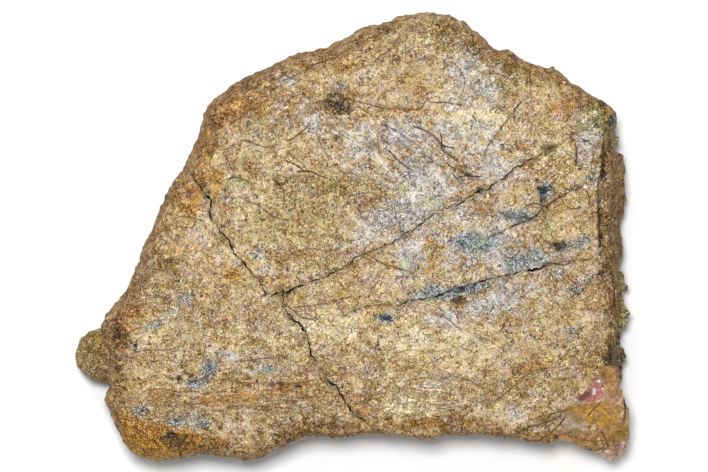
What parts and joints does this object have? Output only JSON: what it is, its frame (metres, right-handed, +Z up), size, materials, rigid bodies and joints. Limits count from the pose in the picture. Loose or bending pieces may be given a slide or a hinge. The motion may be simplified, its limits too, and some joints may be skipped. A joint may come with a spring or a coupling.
{
  "type": "fossil triceratops frill section",
  "caption": "Flat slab of fossil frill bone with a worn curved margin, a broken side, a flaked corner and cracks, lying outer face up.",
  "frame": {"origin": "middle of the slab's box, on the surface that it rests on", "axes": "+Z up from the outer face, which the picture looks down on; +X towards the broken side, along the slab's width; +Y towards the domed margin, the top of the picture"},
  "size_m": [0.2542, 0.2062, 0.0308],
  "materials": {
    "fossil_bone": "permineralised bone: tan with lilac, blue-grey and rust stains, dull and fine grained, darker round its edges"
  },
  "bodies": {
    "root": {"frill_section": "fossil_bone"}
  },
  "joints": []
}
